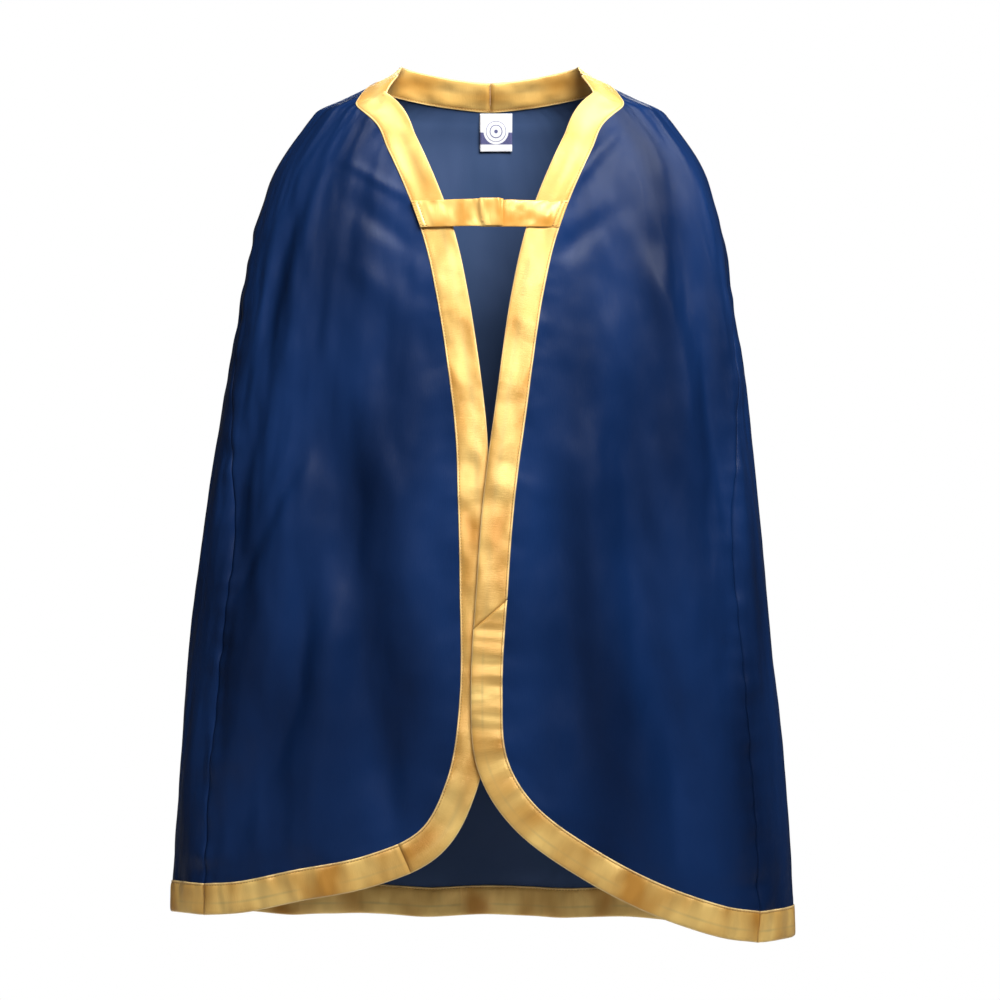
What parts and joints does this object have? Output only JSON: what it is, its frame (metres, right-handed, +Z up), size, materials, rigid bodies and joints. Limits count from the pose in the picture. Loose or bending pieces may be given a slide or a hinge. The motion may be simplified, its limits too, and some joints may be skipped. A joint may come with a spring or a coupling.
{
  "type": "superhero cape",
  "caption": "Child's satin cape with a navy back and fronts, a gold bound edge all round, and a chest closure of overlapping strap tabs with hook and loop tape.",
  "frame": {"origin": "centre of the neck opening, near the level of the back neck seam", "axes": "+Z up, the front faces -Y, +X is the wearer's left"},
  "size_m": [0.5242, 0.1748, 0.7338],
  "materials": {
    "navy_satin": "satin weave, soft sheen",
    "gold_satin": "satin weave, soft sheen",
    "gold_thread": "spun polyester thread",
    "navy_thread": "spun polyester thread",
    "fastener_tape": "hook and loop pile",
    "label_satin": "woven label ribbon"
  },
  "bodies": {
    "cape": {"back_panel": "navy_satin", "left_front_panel": "navy_satin", "right_front_panel": "navy_satin", "left_upper_binding": "gold_satin", "left_lower_binding": "gold_satin", "right_upper_binding": "gold_satin", "right_lower_binding": "gold_satin", "back_hem_binding": "gold_satin", "left_strap_end": "gold_satin", "right_strap_end": "gold_satin", "back_hem_topstitch": "gold_thread", "left_topstitch": "gold_thread", "right_topstitch": "gold_thread", "left_strap_box_stitch": "gold_thread", "right_strap_box_stitch": "gold_thread", "neck_join_thread": "gold_thread", "left_side_seam_thread": "navy_thread", "right_side_seam_thread": "navy_thread"},
    "right_tab": {"right_strap": "gold_satin", "hook_tape": "fastener_tape", "hook_tape_stitch": "gold_thread"},
    "left_tab": {"left_strap": "gold_satin", "loop_tape": "fastener_tape", "loop_tape_stitch": "gold_thread"},
    "label": {"neck_label": "label_satin"}
  },
  "joints": [
    {"name": "right_tab_swing", "type": "hinge", "parent": "cape", "child": "right_tab", "pos_m": [-0.0539, -0.06748, -0.0946], "axis": [0.3375, -0.1425, -0.9305], "range_deg": [0, 150]},
    {"name": "left_tab_swing", "type": "hinge", "parent": "cape", "child": "left_tab", "pos_m": [0.05392, -0.06732, -0.09461], "axis": [0.3371, 0.141, 0.9309], "range_deg": [0, 105]},
    {"name": "label_flip", "type": "hinge", "parent": "cape", "child": "label", "pos_m": [0.00498, 0.05024, 0.00439], "axis": [-1, 0, 0], "range_deg": [0, 130]}
  ],
  "couplings": [
    {"joint": "left_tab_swing", "follows": "right_tab_swing", "ratio": 0.7}
  ]
}
